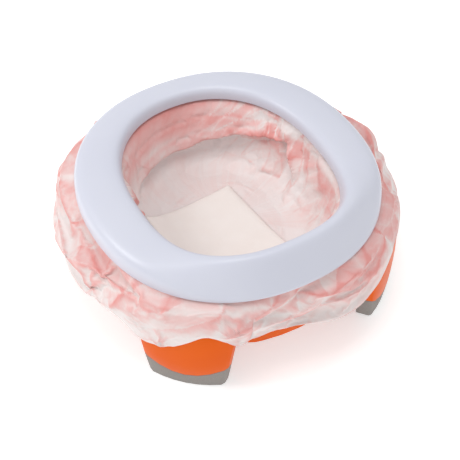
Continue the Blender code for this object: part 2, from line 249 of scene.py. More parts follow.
def guard(angle):
    """How much of the splash guard stands up in a direction, from 0 to 1."""
    return 1 - smooth((turned_apart(angle, -np.pi / 2) - GUARD_FLAT) / (GUARD_END - GUARD_FLAT))


def polar(point):
    """A point's direction and radius about the object's axis."""
    return math.atan2(point.y, point.x), math.hypot(point.x, point.y)


# ---------------------------------------------------------------- mesh helpers

def link(name, data):
    made = bpy.data.objects.new(name, data)
    bpy.context.scene.collection.objects.link(made)
    return made


def mesh_from(name, points, faces):
    mesh = bpy.data.meshes.new(name)
    mesh.from_pydata([tuple(p) for p in points], [], faces)
    mesh.update()
    return mesh


def directions(count):
    """Evenly spaced angles once round."""
    return [2 * math.pi * column / count for column in range(count)]


def ring_point(angle, r, z):
    return (r * math.cos(angle), r * math.sin(angle), z)


def grid_faces(columns, rows):
    """Quads of a closed ring whose point (column, row) has the index column * rows + row."""
    faces = []
    for column in range(columns):
        following = (column + 1) % columns
        for row in range(rows - 1):
            a, b = column * rows + row, following * rows + row
            faces.append((a, a + 1, b + 1, b))
    return faces


def apply_modifiers(made):
    """Replaces an object's mesh with the one its modifiers make."""
    graph = bpy.context.evaluated_depsgraph_get()
    mesh = bpy.data.meshes.new_from_object(made.evaluated_get(graph))
    made.modifiers.clear()
    made.data = mesh


def paint(made, material, shade=True):
    """Gives an object its material and slot, and smooth shading unless it has its own."""
    made.data.materials.clear()
    made.data.materials.append(material)
    if shade:
        made.data.shade_smooth()


def round_edges(made, width, segments, sharpest):
    """Adds a bevel along the edges that turn by more than an angle in degrees."""
    edge = made.modifiers.new("edge", "BEVEL")
    edge.width = width
    edge.segments = segments
    edge.limit_method = "ANGLE"
    edge.angle_limit = math.radians(sharpest)


def refined(node, name, bevel):
    """A copy of a CAD node with its flats joined and its edges rounded."""
    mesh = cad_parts[node].data.copy()
    form = bmesh.new()
    form.from_mesh(mesh)
    bmesh.ops.remove_doubles(form, verts=form.verts, dist=WELD_WITHIN)
    bmesh.ops.dissolve_limit(form, angle_limit=FLAT_WITHIN, verts=form.verts, edges=form.edges)
    form.to_mesh(mesh)
    form.free()
    made = link(name, mesh)
    round_edges(made, bevel, 3, 32)
    apply_modifiers(made)
    made.data.shade_smooth()
    made.data.set_sharp_from_angle(angle=math.radians(50))
    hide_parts(node)
    return made


# ---------------------------------------------------------------- materials

class Nodes:
    """A material's node tree with short ways to add what these materials use."""

    def __init__(self, name):
        self.material = bpy.data.materials.new(name)
        self.material.use_nodes = True
        self.tree = self.material.node_tree
        self.shader = self.tree.nodes["Principled BSDF"]
        self.place = self.tree.nodes.new("ShaderNodeTexCoord").outputs["Object"]

    def join(self, out, into):
        self.tree.links.new(out, into)

    def noise(self, scale, detail=3):
        made = self.tree.nodes.new("ShaderNodeTexNoise")
        made.inputs["Scale"].default_value = scale
        made.inputs["Detail"].default_value = detail
        made.inputs["Roughness"].default_value = 0.55
        self.join(self.place, made.inputs["Vector"])
        return made.outputs["Fac"]

    def cells(self, scale, feature="F1"):
        made = self.tree.nodes.new("ShaderNodeTexVoronoi")
        made.feature = feature
        made.inputs["Scale"].default_value = scale
        self.join(self.place, made.inputs["Vector"])
        return made.outputs["Distance"]

    def attribute(self, name):
        made = self.tree.nodes.new("ShaderNodeAttribute")
        made.attribute_name = name
        return made.outputs["Fac"]

    def ramp(self, factor, stops):
        made = self.tree.nodes.new("ShaderNodeValToRGB")
        band = made.color_ramp
        for index, (at, colour) in enumerate(stops):
            element = band.elements[index] if index < 2 else band.elements.new(at)
            element.position = at
            element.color = (*colour, 1)
        self.join(factor, made.inputs["Fac"])
        return made.outputs["Color"]

    def span(self, factor, low, high):
        """A factor from 0 to 1 spread over another range."""
        made = self.tree.nodes.new("ShaderNodeMapRange")
        made.inputs["To Min"].default_value = low
        made.inputs["To Max"].default_value = high
        self.join(factor, made.inputs["Value"])
        return made.outputs["Result"]

    def mix(self, share, first, second):
        """The first source with a fixed share of the second."""
        made = self.tree.nodes.new("ShaderNodeMix")
        made.data_type = "RGBA"
        for name, source in (("A", first), ("B", second)):
            self.join(source, next(i for i in made.inputs if i.name == name and i.type == "RGBA"))
        next(i for i in made.inputs if i.name == "Factor" and i.type == "VALUE").default_value = share
        return next(o for o in made.outputs if o.type == "RGBA")

    def colour(self, factor, stops):
        self.join(self.ramp(factor, stops), self.shader.inputs["Base Color"])

    def roughness(self, factor, low, high):
        self.join(self.span(factor, low, high), self.shader.inputs["Roughness"])

    def bump(self, *layers):
        """Stacked bumps, each given as (height, strength, distance)."""
        normal = None
        for height, strength, distance in layers:
            made = self.tree.nodes.new("ShaderNodeBump")
            made.inputs["Strength"].default_value = strength
            made.inputs["Distance"].default_value = distance
            self.join(height, made.inputs["Height"])
            if normal:
                self.join(normal, made.inputs["Normal"])
            normal = made.outputs["Normal"]
        self.join(normal, self.shader.inputs["Normal"])

    def set(self, **values):
        for name, value in values.items():
            self.shader.inputs[name.replace("_", " ")].default_value = value


def seat_plastic():
    """Lavender-white polypropylene with a fine satin texture."""
    made = Nodes("seat_plastic")
    made.colour(made.noise(9, 2), [(0.3, (0.64, 0.655, 0.75)), (0.7, (0.66, 0.675, 0.765))])
    made.roughness(made.noise(60, 4), 0.30, 0.40)
    made.bump((made.noise(2600, 2), 0.05, 0.02 * MM), (made.noise(28, 2), 0.05, 0.5 * MM))
    made.set(IOR=1.49, Coat_Weight=0.10, Coat_Roughness=0.25, Subsurface_Weight=0.06,
             Subsurface_Radius=(0.004, 0.004, 0.005), Subsurface_Scale=1.0)
    return made.material


def orange_plastic():
    """Bright orange polypropylene, a little smoother than the seat, with less shine."""
    made = Nodes("orange_plastic")
    made.colour(made.noise(14, 2), [(0.3, (0.74, 0.105, 0.002)), (0.7, (0.79, 0.12, 0.003))])
    made.roughness(made.noise(80, 4), 0.28, 0.38)
    made.bump((made.noise(2400, 2), 0.05, 0.02 * MM), (made.noise(40, 2), 0.05, 0.4 * MM))
    made.set(IOR=1.49, Specular_IOR_Level=0.08)
    return made.material


def grey_rubber():
    """Warm grey soft-touch rubber with a fine grain."""
    made = Nodes("grey_rubber")
    made.colour(made.noise(900), [(0.3, (0.25, 0.232, 0.215)), (0.7, (0.30, 0.28, 0.262))])
    made.roughness(made.noise(120), 0.62, 0.78)
    made.bump((made.noise(1500), 0.25, 0.06 * MM))
    made.set(IOR=1.45)
    return made.material


def pin_steel():
    """Drawn steel wire, a little uneven in colour and gloss."""
    made = Nodes("pin_steel")
    made.colour(made.noise(400), [(0.3, (0.50, 0.50, 0.51)), (0.7, (0.62, 0.62, 0.63))])
    made.roughness(made.noise(700), 0.22, 0.4)
    made.bump((made.noise(1800, 2), 0.1, 0.03 * MM))
    made.set(Metallic=1.0)
    return made.material


def liner_film():
    """Thin pink-tinted film: pale where one layer shows, deeper where it is folded over itself, and with
    painted light and shade from its folds in the tint it reads.
    """
    made = Nodes("liner_film")
    # The tint attribute holds the film's layers and also painted light and shade from its folds, creases
    # and overhangs.
    tint_and_shade = made.mix(0.14, made.attribute("tint_and_shade"), made.noise(22))
    made.colour(tint_and_shade, [(0.0, (0.81, 0.765, 0.755)), (0.28, (0.80, 0.66, 0.64)),
                       (0.60, (0.79, 0.47, 0.45)), (1.0, (0.76, 0.27, 0.245))])
    made.roughness(made.noise(90), 0.34, 0.52)
    made.bump((made.cells(60, "DISTANCE_TO_EDGE"), 0.35, 3 * MM), (made.noise(210), 0.12, 0.3 * MM))
    made.set(IOR=1.5)
    return made.material


def pad_fluff():
    """Cream non-woven cover over fluff, with a faint pattern of small dimples."""
    made = Nodes("pad_fluff")
    made.colour(made.noise(45, 4), [(0.3, (0.845, 0.785, 0.745)), (0.7, (0.865, 0.815, 0.78))])
    made.set(Roughness=0.9, Sheen_Weight=0.2, Sheen_Roughness=0.5)
    made.bump((made.cells(420), 0.25, 0.15 * MM), (made.noise(1400), 0.25, 0.1 * MM))
    return made.material


# ---------------------------------------------------------------- the seat ring

def seat_section(angle):
    """The outer skin of the seat ring in one direction, from the hole's edge to the rim, as (r, z)."""
    inner = float(hole_outline(angle))
    outer = float(seat_outline(angle))
    band = outer - inner
    rise = float(guard(angle))
    top = SEAT_TOP_Z + GUARD_RISE * rise
    return [
        (inner, LIP_Z),
        (inner + 0.09 * rise * band, top - 8 * MM),
        (inner + (0.04 + 0.11 * rise) * band, top - 4 * MM),
        (inner + (0.12 + 0.10 * rise) * band, top - 1.2 * MM),
        (inner + (0.30 + 0.05 * rise) * band, top),
        (inner + (0.60 - 0.12 * rise) * band, top - (0.4 + 1.2 * rise) * MM),
        (inner + (0.80 - 0.12 * rise) * band, top - (1.6 + 10.8 * rise) * MM),
        (inner + (0.92 - 0.03 * rise) * band, top - (4.2 + 19.5 * rise) * MM),
        (outer - 0.7 * MM, top - (8 + 20 * rise) * MM),
        (outer, SEAT_RIM_Z + (6 - 4.5 * rise) * MM),
        (outer, SEAT_RIM_Z),
    ]


def build_seat(material):
    """The seat ring as a smooth hollow shell."""
    points = []
    for angle in directions(SEAT_COLUMNS):
        points += [ring_point(angle, r, z) for r, z in seat_section(angle)]
    faces = grid_faces(SEAT_COLUMNS, len(points) // SEAT_COLUMNS)
    shell = link("seat_ring_shell", mesh_from("seat_ring_shell", points, faces))
    fine = shell.modifiers.new("fine", "SUBSURF")
    fine.levels = fine.render_levels = 2
    wall = shell.modifiers.new("wall", "SOLIDIFY")
    wall.thickness = SEAT_WALL
    wall.offset = -1
    round_edges(shell, SEAT_EDGE, 2, 50)
    apply_modifiers(shell)
    paint(shell, material)
    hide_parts("seat_ring")
    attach(shell, "seat")


def build_seat_rib(material):
    """The clamp rib that runs round under the seat."""
    points = []
    for angle in directions(RIB_COLUMNS):
        centre = float(seat_outline(angle, RIB_INSET))
        near, far = centre - RIB_HALF, centre + RIB_HALF
        high = SEAT_TOP_Z + (GUARD_RISE - RIB_UNDER_TOP) * float(guard(angle)) - RIB_UNDER_TOP
        low = SEAT_RIM_Z + RIB_OVER_RIM
        points += [ring_point(angle, r, z) for r, z in ((near, high), (near, low), (far, low), (far, high))]
    faces = []
    for column in range(RIB_COLUMNS):
        a, b = 4 * column, 4 * ((column + 1) % RIB_COLUMNS)
        for row in range(4):
            following = (row + 1) % 4
            faces.append((a + row, a + following, b + following, b + row))
    rib = link("seat_clamp_rib", mesh_from("seat_clamp_rib", points, faces))
    round_edges(rib, RIB_EDGE, 2, 30)
    apply_modifiers(rib)
    paint(rib, material)
    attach(rib, "seat")


# ---------------------------------------------------------------- the frame's hard parts

def build_hard_parts(orange, rubber, steel):
    """The base, legs, feet and pins, as refined copies of their CAD nodes."""
    base = refined("base_frame", "base_frame_moulding", 0.5 * MM)
    paint(base, orange, shade=False)
    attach(base, "root")
    for corner in ("front_left", "front_right", "back_left", "back_right"):
        leg = refined(f"leg_{corner}", f"leg_{corner}_moulding", 1.1 * MM)
        paint(leg, orange, shade=False)
        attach(leg, f"leg_{corner}")
        foot = refined(f"foot_{corner}", f"foot_{corner}_tip", 0.9 * MM)
        paint(foot, rubber, shade=False)
        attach(foot, f"leg_{corner}")
        for end in "ab":
            pin = refined(f"hinge_pin_{corner}_{end}", f"hinge_pin_{corner}_{end}_rod", 0.4 * MM)
            paint(pin, steel, shade=False)
            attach(pin, "root")


# ---------------------------------------------------------------- the liner film

def bump_at(angle, centre, width):
    """A smooth hump of height 1 round a direction given in degrees, for angles in radians."""
    return np.exp(-(turned_apart(angle, math.radians(centre)) / math.radians(width)) ** 2)


def hem_height(angle):
    """Height of the cuff's lower edge: it rides up over the legs and in places between them."""
    height = CUFF_HEM_Z
    for centre, width, rise in HEM_LIFTS:
        height = height + rise * bump_at(angle, centre, width)
    return np.minimum(height, CUFF_HEM_MOST_Z)


def hem_radius(angle):
    """Radius of the cuff's lower edge."""
    radius = CUFF_OUT_R
    for centre, width, draw in HEM_DRAWS:
        radius = radius - draw * bump_at(angle, centre, width)
    return radius


def along_path(points, count):
    """Evenly spaced points, as many as asked, along a path given as a list of (r, z)."""
    path = np.array(points)
    steps = np.hypot(*np.diff(path, axis=0).T)
    at = np.concatenate([[0], np.cumsum(steps)])
    where = np.linspace(0, at[-1], count)
    return list(zip(np.interp(where, at, path[:, 0]), np.interp(where, at, path[:, 1])))


def around(angle, z, size, high, seed):
    """Smooth noise from -1 to 1 round the object, about so wide and so high between its humps."""
    reach = CUFF_OUT_R / size
    return 2 * noise.noise((reach * math.cos(angle) + seed, reach * math.sin(angle), z / high + seed))


def chance(a, b, seed):
    """A fixed random number from -1 to 1 for a pair of numbers."""
    mixed = math.sin(a * 127.1 + b * 311.7 + seed * 74.7) * 43758.5453
    return 2 * (mixed - math.floor(mixed)) - 1


def facets(angle, z, width, length, slope, seed):
    """Film folded into flat facets whose long creases climb at a slope: (height, tone), both about 0.

    A slanting grid of triangles has a random height at each point, a random tone on each triangle,
    which stands partly for layers of film and partly for painted light and shade on each facet,
    and a random tone along each crease: a painted highlight where pale, painted shade where deep.
    """
    rise = math.atan(slope)
    count = max(3, round(2 * math.pi * CUFF_OUT_R * abs(math.sin(rise)) / width))
    lean = angle + 0.05 * around(angle, z, 60 * MM, 30 * MM, seed) - z / (slope * CUFF_OUT_R)
    a = lean * count / (2 * math.pi)
    b = z / (length * abs(math.sin(rise))) + 0.25 * around(angle, z, 80 * MM, 60 * MM, seed + 3)
    col, row = math.floor(a), math.floor(b)
    u, v = a - col, b - row

    def height(i, j):
        return 0.65 * chance(i % count, 0.5, seed) + 0.55 * chance(i % count, j, seed + 1)

    whole = col % count
    # Each triangle's random tone stands partly for painted light and shade on that facet.
    if u + v < 1:
        tone = chance(whole, row, seed + 2)
        base, side, up = height(col, row), height(col + 1, row), height(col, row + 1)
        marks = (chance(whole, row, 7.1), chance(whole, row, 7.2), chance(whole, row, 7.3))
    else:
        tone = chance(whole, row, seed + 4)
        base, side, up = height(col + 1, row + 1), height(col, row + 1), height(col + 1, row)
        u, v = 1 - u, 1 - v
        marks = (chance((col + 1) % count, row, 7.1), chance(whole, row + 1, 7.2), chance(whole, row, 7.3))
    far, mark = min(zip((u, v, 1 - u - v), marks))
    # The line along the nearest crease: a painted highlight where pale, painted shade where deep.
    tone += CREASE_LIGHT_AND_SHADE * mark * math.exp(-(far * width / CREASE_WIDTH) ** 2)
    return base + (side - base) * u + (up - base) * v, tone


def film_faces(columns, rows):
    """Triangles of a ring of film, whose diagonals turn either way so that folds can run anywhere."""
    faces = []
    for count, (a, b, c, d) in enumerate(grid_faces(columns, rows)):
        if noise.noise((0.37 * count, 0.11 * (count % rows), 4.4)) > 0:
            faces += [(a, d, c), (a, c, b)]
        else:
            faces += [(a, d, b), (b, d, c)]
    return faces


def hard_surface():
    """A search tree over the hard parts that the cuff lies on."""
    points = []
    faces = []
    for node in CUFF_LIES_ON:
        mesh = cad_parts[node].data
        start = len(points)
        points += [v.co.copy() for v in mesh.vertices]
        faces += [[start + i for i in f.vertices] for f in mesh.polygons]
    return BVHTree.FromPolygons(points, faces)


def surface_radius(tree, angle, z):
    """Radius of the hard surface met by a level ray coming in from outside, or 0 where there is none."""
    way = Vector((math.cos(angle), math.sin(angle), 0))
    hit = tree.ray_cast(way * RAY_FROM_R + Vector((0, 0, z)), -way, RAY_REACH)[0]
    return math.hypot(hit.x, hit.y) if hit else 0.0


def widest_radius(tree, angle, z, spread):
    """The largest radius of the hard surface in a direction and a little to each side of it."""
    return max(surface_radius(tree, angle + step, z) for step in (-spread, 0, spread))


def settled(name, start, cut, faces, pinned, gravity, obstacle=None):
    """Lets a sheet of film find its own folds: it was cut to one shape and is held in a smaller one."""
    frames = CLOTH_FRAMES
    sheet = link(name, mesh_from(name, start, faces))
    sheet.shape_key_add(name="Basis")
    rest = sheet.shape_key_add(name="cut")
    rest.data.foreach_set("co", np.asarray(cut, dtype=np.float32).ravel())
    rest.value = 0
    group = sheet.vertex_groups.new(name="pinned")
    group.add([int(index) for index in pinned], 1.0, "REPLACE")
    cloth = sheet.modifiers.new("cloth", "CLOTH")
    options = cloth.settings
    for setting, value in FILM_CLOTH.items():
        setattr(options, setting, value)
    options.vertex_group_mass = "pinned"
    options.rest_shape_key = rest
    options.effector_weights.gravity = gravity
    cloth.collision_settings.use_collision = obstacle is not None
    cloth.collision_settings.distance_min = FILM_KEEPS_OFF
    cloth.point_cache.frame_start = 1
    cloth.point_cache.frame_end = CLOTH_FRAMES
    if obstacle:
        obstacle.modifiers.new("solid", "COLLISION")
        obstacle.collision.thickness_outer = BODY_THICK
        obstacle.collision.cloth_friction = BODY_FRICTION
    for step in range(1, frames + 1):
        bpy.context.scene.frame_set(step)
    graph = bpy.context.evaluated_depsgraph_get()
    found = vertex_vectors(sheet.evaluated_get(graph).to_mesh(), "co")
    bpy.data.objects.remove(sheet)
    bpy.context.scene.frame_set(1)
    return found


def crisp(name, points, faces, places):
    """The settled film made fine, with its creases just rounded: (object, angles, heights).

    The angles and heights are those that each point had before it settled.
    """
    made = link(name, mesh_from(name, points, faces))
    for axis, values in zip("xyz", places.T):
        set_values(made.data, f"place_{axis}", values)
    fine = made.modifiers.new("fine", "SUBSURF")
    fine.subdivision_type = "SIMPLE"
    fine.levels = fine.render_levels = 1
    soft = made.modifiers.new("soft", "SMOOTH")
    soft.factor = 0.5
    soft.iterations = 1
    apply_modifiers(made)
    x, y, z = (get_values(made.data, f"place_{axis}") for axis in "xyz")
    return made, np.arctan2(y, x), z


def vertex_vectors(mesh, name):
    """One vector of each vertex, its co or its normal, as the rows of an array."""
    values = np.empty(len(mesh.vertices) * 3)
    mesh.vertices.foreach_get(name, values)
    return values.reshape(-1, 3)


def hollowness(mesh):
    """How hollow a mesh is at each point on the side that its normals point to, from -1 to 1 mm."""
    count = len(mesh.vertices)
    points = vertex_vectors(mesh, "co")
    normals = vertex_vectors(mesh, "normal")
    ends = np.empty(len(mesh.edges) * 2, dtype=np.int64)
    mesh.edges.foreach_get("vertices", ends)
    one, two = ends.reshape(-1, 2).T
    degree = np.bincount(one, minlength=count) + np.bincount(two, minlength=count)

    def spread(values):
        total = np.zeros_like(values)
        np.add.at(total, one, values[two])
        np.add.at(total, two, values[one])
        return total / degree.reshape((-1,) + (1,) * (values.ndim - 1))

    flat = points
    for _ in range(10):
        flat = spread(flat)
    depth = np.einsum("ij,ij->i", flat - points, normals)
    for _ in range(2):
        depth = 0.5 * depth + 0.5 * spread(depth)
    return np.clip(depth / MM, -1, 1)


def set_values(mesh, name, values):
    """Stores a number at each point of a mesh, which get_values reads back."""
    stored = mesh.attributes.new(name, "FLOAT", "POINT")
    stored.data.foreach_set("value", np.asarray(values, dtype=np.float32))


def get_values(mesh, name):
    values = np.empty(len(mesh.vertices), dtype=np.float32)
    mesh.attributes[name].data.foreach_get("value", values)
    return values


def store_tint_and_shade(mesh, tint_and_shade, turns, levels, folds, cloud):
    """Adds soft clouds and the folds' own tones, partly painted light and shade, to a film's tint, and
    stores it for the material.
    """
    for index, (turn, z) in enumerate(zip(turns.tolist(), levels.tolist())):
        tint_and_shade[index] += CLOUD_TINT * around(turn, z, *cloud) + FOLD_TONE_AND_SHADE * folds(turn, z)[-1]
    set_values(mesh, "tint_and_shade", np.clip(tint_and_shade, 0, 1))


def cuff_folds(turn, z):
    """How far the cuff stands out and up from its smooth form at one place, and its tone there, partly
    painted light and shade.
    """
    fold, tone = facets(turn, z, *CUFF_LARGE)
    small, small_tone = facets(turn, z, *CUFF_SMALL)
    lift, _ = facets(turn, z, *CUFF_LIFTS)
    loose = 1 - 0.8 * float(bump_at(turn, *CUFF_PANEL)) * float(smooth((86 * MM - z) / (12 * MM)))
    out = loose * (7.5 * fold + 2.2 * small) * MM
    tone = loose * (0.82 * tone + 0.18 * small_tone)
    for centre, height, reach, pleats in CUFF_PUCKERS:
        across = float(turned_apart(turn, math.radians(centre))) * CUFF_OUT_R
        along = z - height
        near = math.exp(-(across**2 + along**2) / reach**2)
        pit = math.exp(-(across**2 + along**2) / (0.3 * reach) ** 2)
        ray = math.cos(pleats * math.atan2(along, across))
        out = (1 - near) * out + (2.2 * near * ray - 3.5 * pit) * MM
        # Painted light and shade keyed to the gather: deeper on the pleats that stand out and deepest in
        # its sunk pit.
        tone = (1 - near) * tone + 0.8 * near * ray + 1.6 * pit
    return out, loose * 3.0 * MM * lift, tone


def cuff_path(tree, turn):
    """The cuff's smooth form in one direction, from the clamp down to the hem and in under it."""
    rim = float(seat_outline(turn))
    low = float(hem_height(turn))
    hard = widest_radius(tree, turn, low + 2 * MM, 0.04) + CUFF_TUCK_OFF
    out = max(float(hem_radius(turn)), hard)
    side = [
        (rim - 4.7 * MM, 106 * MM),
        (rim - 3.9 * MM, 100.4 * MM),
        (rim + 2 * MM, 98.6 * MM),
        (max(rim + 7 * MM, out - 4 * MM), CUFF_SHOULDER_Z),
        (out + 1.5 * MM, 0.45 * low + 0.55 * CUFF_SHOULDER_Z),
        (out, low),
    ]
    tuck = [
        (out, low),
        (max(out - 6 * MM, hard), low + 1 * MM),
        (max(out - 10 * MM, hard), low + 6 * MM),
    ]
    return along_path(side, CUFF_HEM_ROW + 1) + along_path(tuck, CUFF_ROWS - CUFF_HEM_ROW)[1:]


def cuff_start(tree):
    """The cuff before it settles: where each grid point starts, the shape it was cut to, its own place."""
    start = []
    cut = []
    places = []
    for turn in directions(CUFF_COLUMNS):
        slack = 1 + CUFF_SLACK_ROUND * (1 + 0.5 * around(turn, 0, 90 * MM, 1, 5.3))
        drop = 1 + CUFF_SLACK_DOWN * (1 + 0.5 * around(turn, 0, 70 * MM, 1, 9.2))
        for row, (r, z) in enumerate(cuff_path(tree, turn)):
            stands, rises, _ = cuff_folds(turn, z)
            hem = 1 - 0.6 * math.exp(-((row - CUFF_HEM_ROW) / 3) ** 2)
            away = min(1.0, row / 4) * (hem if row <= CUFF_HEM_ROW else 0.1)
            reach = r + away * stands
            height = z + away * rises
            start.append(ring_point(turn, reach, height))
            places.append(ring_point(turn, 1, z))
            cut.append(ring_point(turn - CUFF_LEAN * z, reach * slack, height * drop))
    return np.array(start), np.array(cut), np.array(places)


def cuff_body(tree):
    """A simple ring round the hard parts and under the seat's rim, for the cuff to fall against."""
    columns = 96
    heights = np.linspace(40 * MM, 106 * MM, 12)
    points = []
    for angle in directions(columns):
        for z in heights:
            r = max(widest_radius(tree, angle, z, 0.05), float(seat_outline(angle, 8 * MM)))
            points.append(ring_point(angle, r, z))
    faces = [face[::-1] for face in grid_faces(columns, len(heights))]
    return link("cuff_body", mesh_from("cuff_body", points, faces))


def build_cuff(material):
    """The film folded down over the frame, in four pieces, one over each leg."""
    tree = hard_surface()
    start, cut, places = cuff_start(tree)
    faces = film_faces(CUFF_COLUMNS, CUFF_ROWS)
    rows = np.arange(len(start)) % CUFF_ROWS
    pinned = np.flatnonzero((rows == 0) | (rows >= CUFF_HEM_ROW))
    body = cuff_body(tree)
    found = settled("cuff_film", start, cut, faces, pinned, CUFF_GRAVITY, body)
    bpy.data.objects.remove(body)
    whole, turns, levels = crisp("cuff_whole", found, faces, places)
    mesh = whole.data
    for vertex in mesh.vertices:
        angle, r = polar(vertex.co)
        hard = surface_radius(tree, angle, vertex.co.z) + CUFF_LIES_OFF
        if r < hard and vertex.co.z < CUFF_FREE_Z:
            vertex.co.x *= hard / r
            vertex.co.y *= hard / r
    mesh.update()
    # Paler along the hem and where one clear layer shows; deeper below the rim, partly for the film layered
    # there and partly as painted shade under the seat's rim; and with painted light and shade keyed to the
    # folds' shape, deeper on the ridges and paler in the hollows.
    # The normals point in, so a ridge is hollow on their side.
    tint_and_shade = 0.39 - 0.34 * (1 - smooth((levels - hem_height(turns)) / (16 * MM)))
    tint_and_shade += 0.22 * smooth((levels - 80 * MM) / (12 * MM))
    for centre, spread, height in CUFF_CLEAR:
        tint_and_shade -= 0.5 * bump_at(turns, centre, spread) * np.exp(-((levels - height) / (13 * MM)) ** 2)
    tint_and_shade += RIDGE_LIGHT_AND_SHADE * hollowness(mesh)
    store_tint_and_shade(mesh, tint_and_shade, turns, levels, cuff_folds, (55 * MM, 40 * MM, 1.5))
    for corner, way in LEG_WAYS.items():
        build_cuff_quarter(whole, corner, material)
    bpy.data.objects.remove(whole)


def nearest_leg(point):
    """The corner whose leg owns a point of the cuff: the quarters meet at the middle of each side."""
    side = "front" if point.y < 0 else "back"
    return f"{side}_left" if point.x < 0 else f"{side}_right"


def build_cuff_quarter(whole, corner, material):
    """The part of the cuff over one leg."""
    form = bmesh.new()
    form.from_mesh(whole.data)
    away = [face for face in form.faces if nearest_leg(face.calc_center_median()) != corner]
    bmesh.ops.delete(form, geom=away, context="FACES")
    mesh = bpy.data.meshes.new(f"liner_cuff_{corner}")
    form.to_mesh(mesh)
    form.free()
    made = link(f"liner_cuff_{corner}", mesh)
    paint(made, material)
    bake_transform(made)
    if corner == "front_left":
        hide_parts("liner_cuff")


def swags(turn, z):
    """The film slung across the back of the pouch in overlapping folds: how far in, and its tone, painted
    shadow deepest where one fold meets the next, with a random tone for each fold.
    """
    share = (math.degrees(turn) - SWAG_FROM) / (SWAG_TO - SWAG_FROM)
    if not 0 < share < 1:
        return 0.0, 0.0
    pitch = SWAG_NARROW + (SWAG_WIDE - SWAG_NARROW) * float(smooth(share * 1.5))
    sunk = (FILM_LIP_Z - z + 2.5 * MM * around(turn, z, 50 * MM, 60 * MM, 4.4)) / pitch
    fold = max(math.floor(sunk), 0)
    down = max(sunk - fold, 0)
    if sunk > SWAG_COUNT:
        return 0.0, 0.0
    ends = float(smooth(share * 8)) * float(smooth((1 - share) * 4))
    lip = float(smooth((1 - down) / 0.3))
    stands = (fold + down**0.8 * lip + (1 - lip)) / SWAG_COUNT
    if fold == SWAG_COUNT - 1:
        stands *= float(smooth((1 - down) / 0.5))
    else:
        stands -= 0.10 * (1 - lip)
    # Painted shadow: deepest at the top and foot of each fold, where the folds overlap, paler across it,
    # plus a random tone for each fold.
    tone = 0.9 - 1.5 * down * lip + 0.5 * chance(fold, 2, 1.5)
    return ends * SWAG_STANDS * stands, ends * tone


def pouch_folds(turn, z):
    """How far the pouch stands in from its smooth form at one place, and its tone there, with the swags'
    painted shadow and the folds' partly painted light and shade.
    """
    turn = math.remainder(turn, 2 * math.pi)
    swell, shade = swags(turn, z)
    sag = float(smooth((FILM_LIP_Z - z) / (30 * MM)))
    edge = float(smooth((FILM_LIP_Z - z) / (5 * MM)))
    for centre, spread, low, width, length, slope, amount in POUCH_FOLDS:
        waver = 5 * MM * around(turn, 0, 60 * MM, 1, centre / 10)
        here = float(bump_at(turn, centre, spread) * smooth((z - low - waver) / (6 * MM)))
        fold, tone = facets(turn, z, width, length, slope, centre / 31)
        swell += here * amount * (0.5 * sag + 0.9 * fold * edge)
        shade += here * tone
    small, small_tone = facets(turn, z, *POUCH_SMALL)
    swell += 0.9 * MM * small * float(smooth((z - FLOOR_FILM_Z) / (14 * MM)))
    return swell, 0.85 * shade + 0.15 * small_tone


def pouch_floor(x, y):
    """Height of the pouch's smooth inside at a place."""
    share = math.hypot(x, y) / float(hole_outline(math.atan2(y, x)))
    shares, levels = zip(*POUCH_BOWL[::-1])
    return float(np.interp(share, shares, levels))


def on_pad(x, y):
    """Whether a place is under the pad."""
    from_corner = PAD_CORNER - Vector((x, y))
    wide = from_corner.dot(PAD_ALONG)
    deep = from_corner.dot(PAD_ACROSS)
    return -PAD_CLEAR < wide < PAD_WIDE + PAD_CLEAR and -PAD_CLEAR < deep < PAD_DEEP + PAD_CLEAR


def pouch_path(turn):
    """The pouch's smooth form in one direction, from the clamp in over the lip and down to the floor."""
    hole = float(hole_outline(turn))
    path = [
        (hole + 8 * MM, FILM_LIP_Z + 0.3 * MM),
        (hole + 1.5 * MM, FILM_LIP_Z),
        (hole - 0.5 * MM, 102 * MM),
        *((share * hole, z) for share, z in POUCH_BOWL),
        (0.30 * hole, FLOOR_FILM_Z),
        (0.10 * hole, FLOOR_FILM_Z),
    ]
    return along_path(path, POUCH_ROWS)


def pouch_start():
    """The pouch before it settles: where each grid point starts, the shape it was cut to, its own place."""
    start = []
    cut = []
    places = []
    for turn in directions(POUCH_COLUMNS):
        slack = 1 + POUCH_SLACK_ROUND * (1 + 0.6 * around(turn, 0, 80 * MM, 1, 2.9))
        drop = 1 + POUCH_SLACK_DOWN * (1 + 0.5 * around(turn, 0, 80 * MM, 1, 6.1))
        for row, (r, z) in enumerate(pouch_path(turn)):
            held = row in (0, 1, POUCH_ROWS - 1)
            inward = r - (0.0 if held else POUCH_CLEAR + pouch_folds(turn, z)[0])
            start.append(ring_point(turn, inward, z))
            places.append(ring_point(turn, 1, z))
            high = FLOOR_FILM_Z + (z - FLOOR_FILM_Z) * drop
            cut.append(ring_point(turn + POUCH_LEAN * z, inward * slack, high))
    return np.array(start), np.array(cut), np.array(places)


